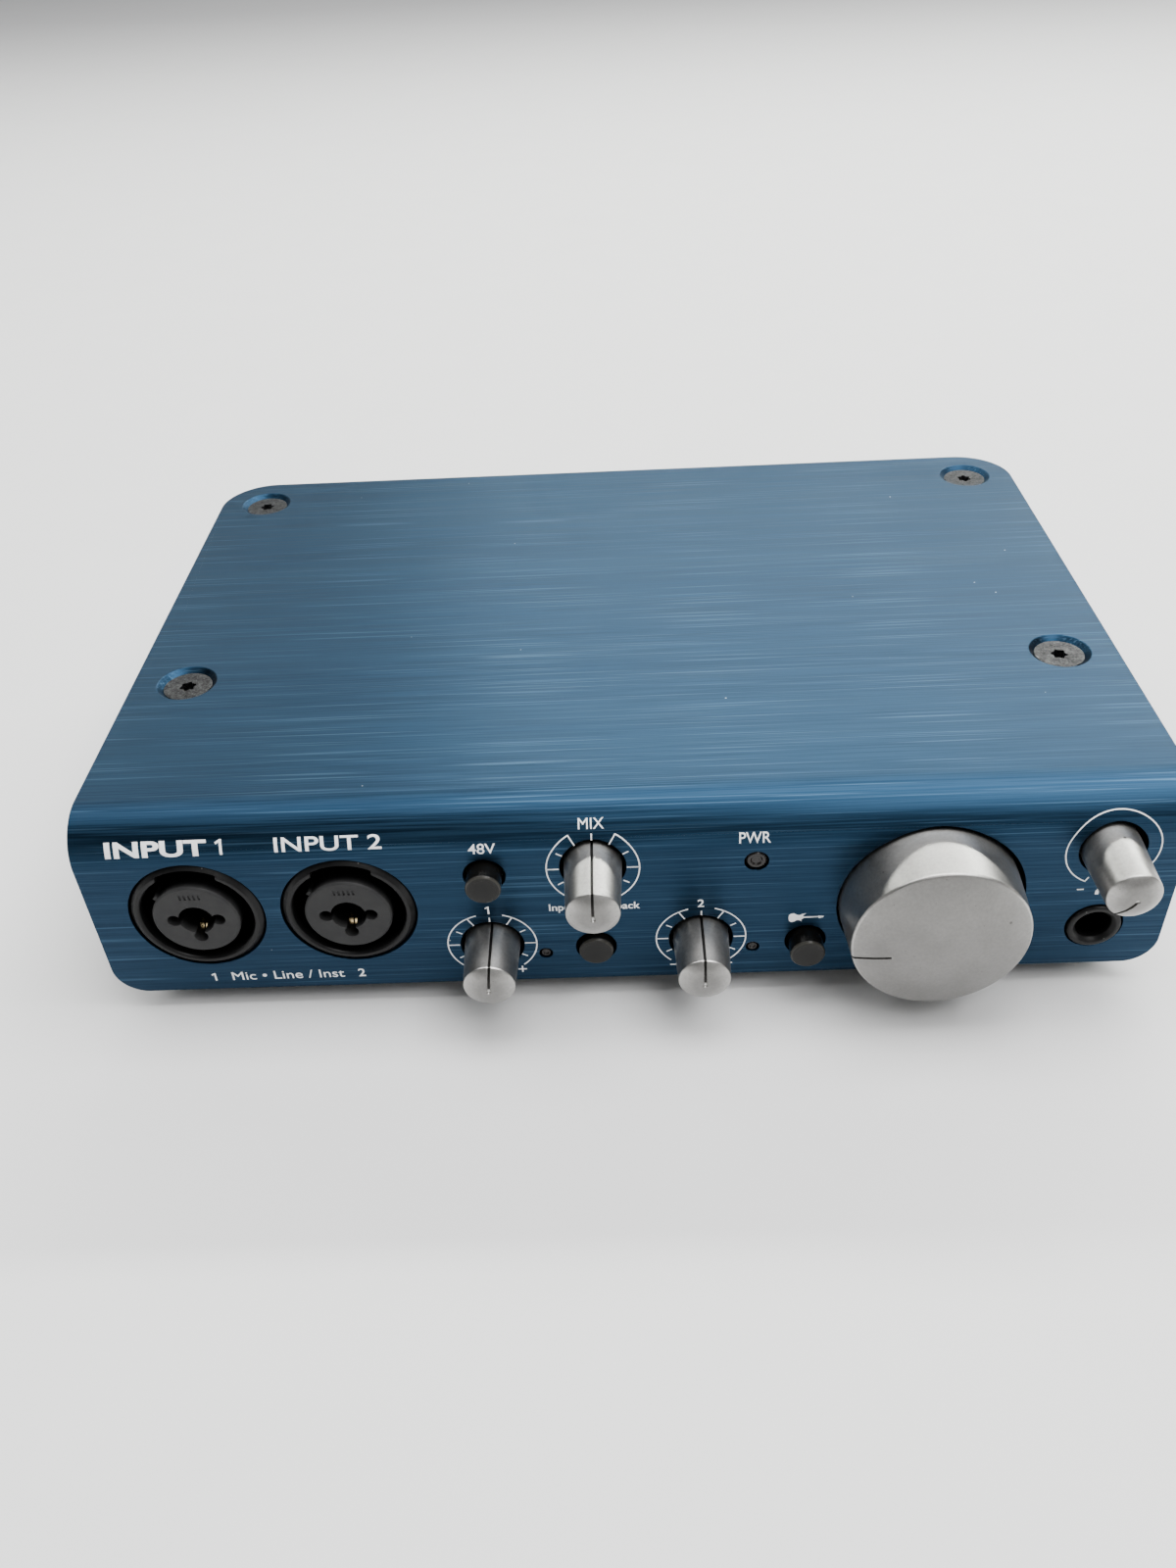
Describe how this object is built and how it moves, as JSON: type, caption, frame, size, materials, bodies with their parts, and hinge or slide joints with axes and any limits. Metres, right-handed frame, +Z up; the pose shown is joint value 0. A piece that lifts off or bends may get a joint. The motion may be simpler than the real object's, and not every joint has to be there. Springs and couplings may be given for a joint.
{
  "type": "audio interface",
  "caption": "Desktop audio recording interface: bent blue metal cover over a black tray, front sockets, turning knobs, push buttons and lamps, with sockets at the rear.",
  "frame": {"origin": "on the ground, at the centre of the whole object's outline seen from above", "axes": "+X to the right seen from the front, +Y from the front face to the rear, +Z up"},
  "size_m": [0.196, 0.151, 0.0445],
  "materials": {
    "blue_anodised": "fine brushed, blue anodised",
    "black_steel": "satin black powder coat",
    "black_plastic": "satin moulded",
    "core_plastic": "matte moulded",
    "smoked_plastic": "smoked translucent",
    "lamp_lens": "dark clear lens, unlit",
    "satin_silver": "satin bead-blasted silver",
    "worn_steel": "worn zinc plate",
    "plated_steel": "bright plated",
    "gold_contact": "gold plated",
    "board_laminate": "solder mask",
    "ribbon_jacket": "matte",
    "foot_rubber": "matte"
  },
  "bodies": {
    "housing": {"cover": "blue_anodised", "cover_screw_1": "worn_steel", "cover_screw_2": "worn_steel", "cover_screw_3": "worn_steel", "cover_screw_4": "worn_steel", "chassis_tray": "black_steel", "rear_panel": "black_steel", "rear_screw_left": "plated_steel", "rear_screw_right": "plated_steel", "foot_1": "foot_rubber", "foot_2": "foot_rubber", "foot_3": "foot_rubber", "foot_4": "foot_rubber", "board_standoff_1": "plated_steel", "board_standoff_2": "plated_steel", "board_standoff_3": "plated_steel", "board_standoff_4": "plated_steel", "main_board": "board_laminate", "control_board": "board_laminate", "board_ribbon": "ribbon_jacket", "combo_socket_1": "black_plastic", "combo_insert_1": "core_plastic", "combo_contact_1": "gold_contact", "combo_socket_2": "black_plastic", "combo_insert_2": "core_plastic", "combo_contact_2": "gold_contact", "phones_socket": "black_plastic", "power_inlet": "black_plastic", "usb_b_socket": "plated_steel", "usb_a_socket": "plated_steel", "midi_in_socket": "black_plastic", "midi_out_socket": "black_plastic", "output_socket_left": "black_plastic", "output_nut_left": "plated_steel", "output_socket_right": "black_plastic", "output_nut_right": "plated_steel", "mix_pot": "plated_steel", "gain_pot_1": "plated_steel", "gain_pot_2": "plated_steel", "phones_pot": "plated_steel", "main_pot": "plated_steel", "phantom_switch": "black_plastic", "input_switch_1": "black_plastic", "input_switch_2": "black_plastic", "power_lamp": "lamp_lens", "signal_lamp_1": "lamp_lens", "signal_lamp_2": "lamp_lens"},
    "mix_dial": {"mix_knob": "satin_silver", "mix_shaft": "plated_steel"},
    "gain_dial_1": {"gain_knob_1": "satin_silver", "gain_shaft_1": "plated_steel"},
    "gain_dial_2": {"gain_knob_2": "satin_silver", "gain_shaft_2": "plated_steel"},
    "phones_dial": {"phones_knob": "satin_silver", "phones_shaft": "plated_steel"},
    "main_dial": {"main_knob": "satin_silver", "main_shaft": "plated_steel"},
    "phantom_key": {"phantom_button": "smoked_plastic"},
    "input_key_1": {"input_button_1": "smoked_plastic"},
    "input_key_2": {"input_button_2": "smoked_plastic"}
  },
  "joints": [
    {"name": "mix_turn", "type": "hinge", "parent": "housing", "child": "mix_dial", "pos_m": [-0.00595, -0.06215, 0.0327], "axis": [0, 1, 0], "range_deg": [-150, 150]},
    {"name": "gain_1_turn", "type": "hinge", "parent": "housing", "child": "gain_dial_1", "pos_m": [-0.02535, -0.06215, 0.0141], "axis": [0, 1, 0], "range_deg": [-154, 146]},
    {"name": "gain_2_turn", "type": "hinge", "parent": "housing", "child": "gain_dial_2", "pos_m": [0.0133, -0.06215, 0.0141], "axis": [0, 1, 0], "range_deg": [-150, 150]},
    {"name": "phones_turn", "type": "hinge", "parent": "housing", "child": "phones_dial", "pos_m": [0.08465, -0.06215, 0.0328], "axis": [0, 1, 0], "range_deg": [-2, 298]},
    {"name": "main_turn", "type": "hinge", "parent": "housing", "child": "main_dial", "pos_m": [0.05435, -0.06215, 0.022], "axis": [0, 1, 0], "range_deg": [-47, 253]},
    {"name": "phantom_push", "type": "slide", "parent": "housing", "child": "phantom_key", "axis": [0, 1, 0], "range_m": [0, 0.0024], "stiffness_N_per_m": 200},
    {"name": "input_1_release", "type": "slide", "parent": "housing", "child": "input_key_1", "axis": [0, 1, 0], "range_m": [-0.0024, 0]},
    {"name": "input_2_push", "type": "slide", "parent": "housing", "child": "input_key_2", "axis": [0, 1, 0], "range_m": [0, 0.0024], "stiffness_N_per_m": 200}
  ]
}
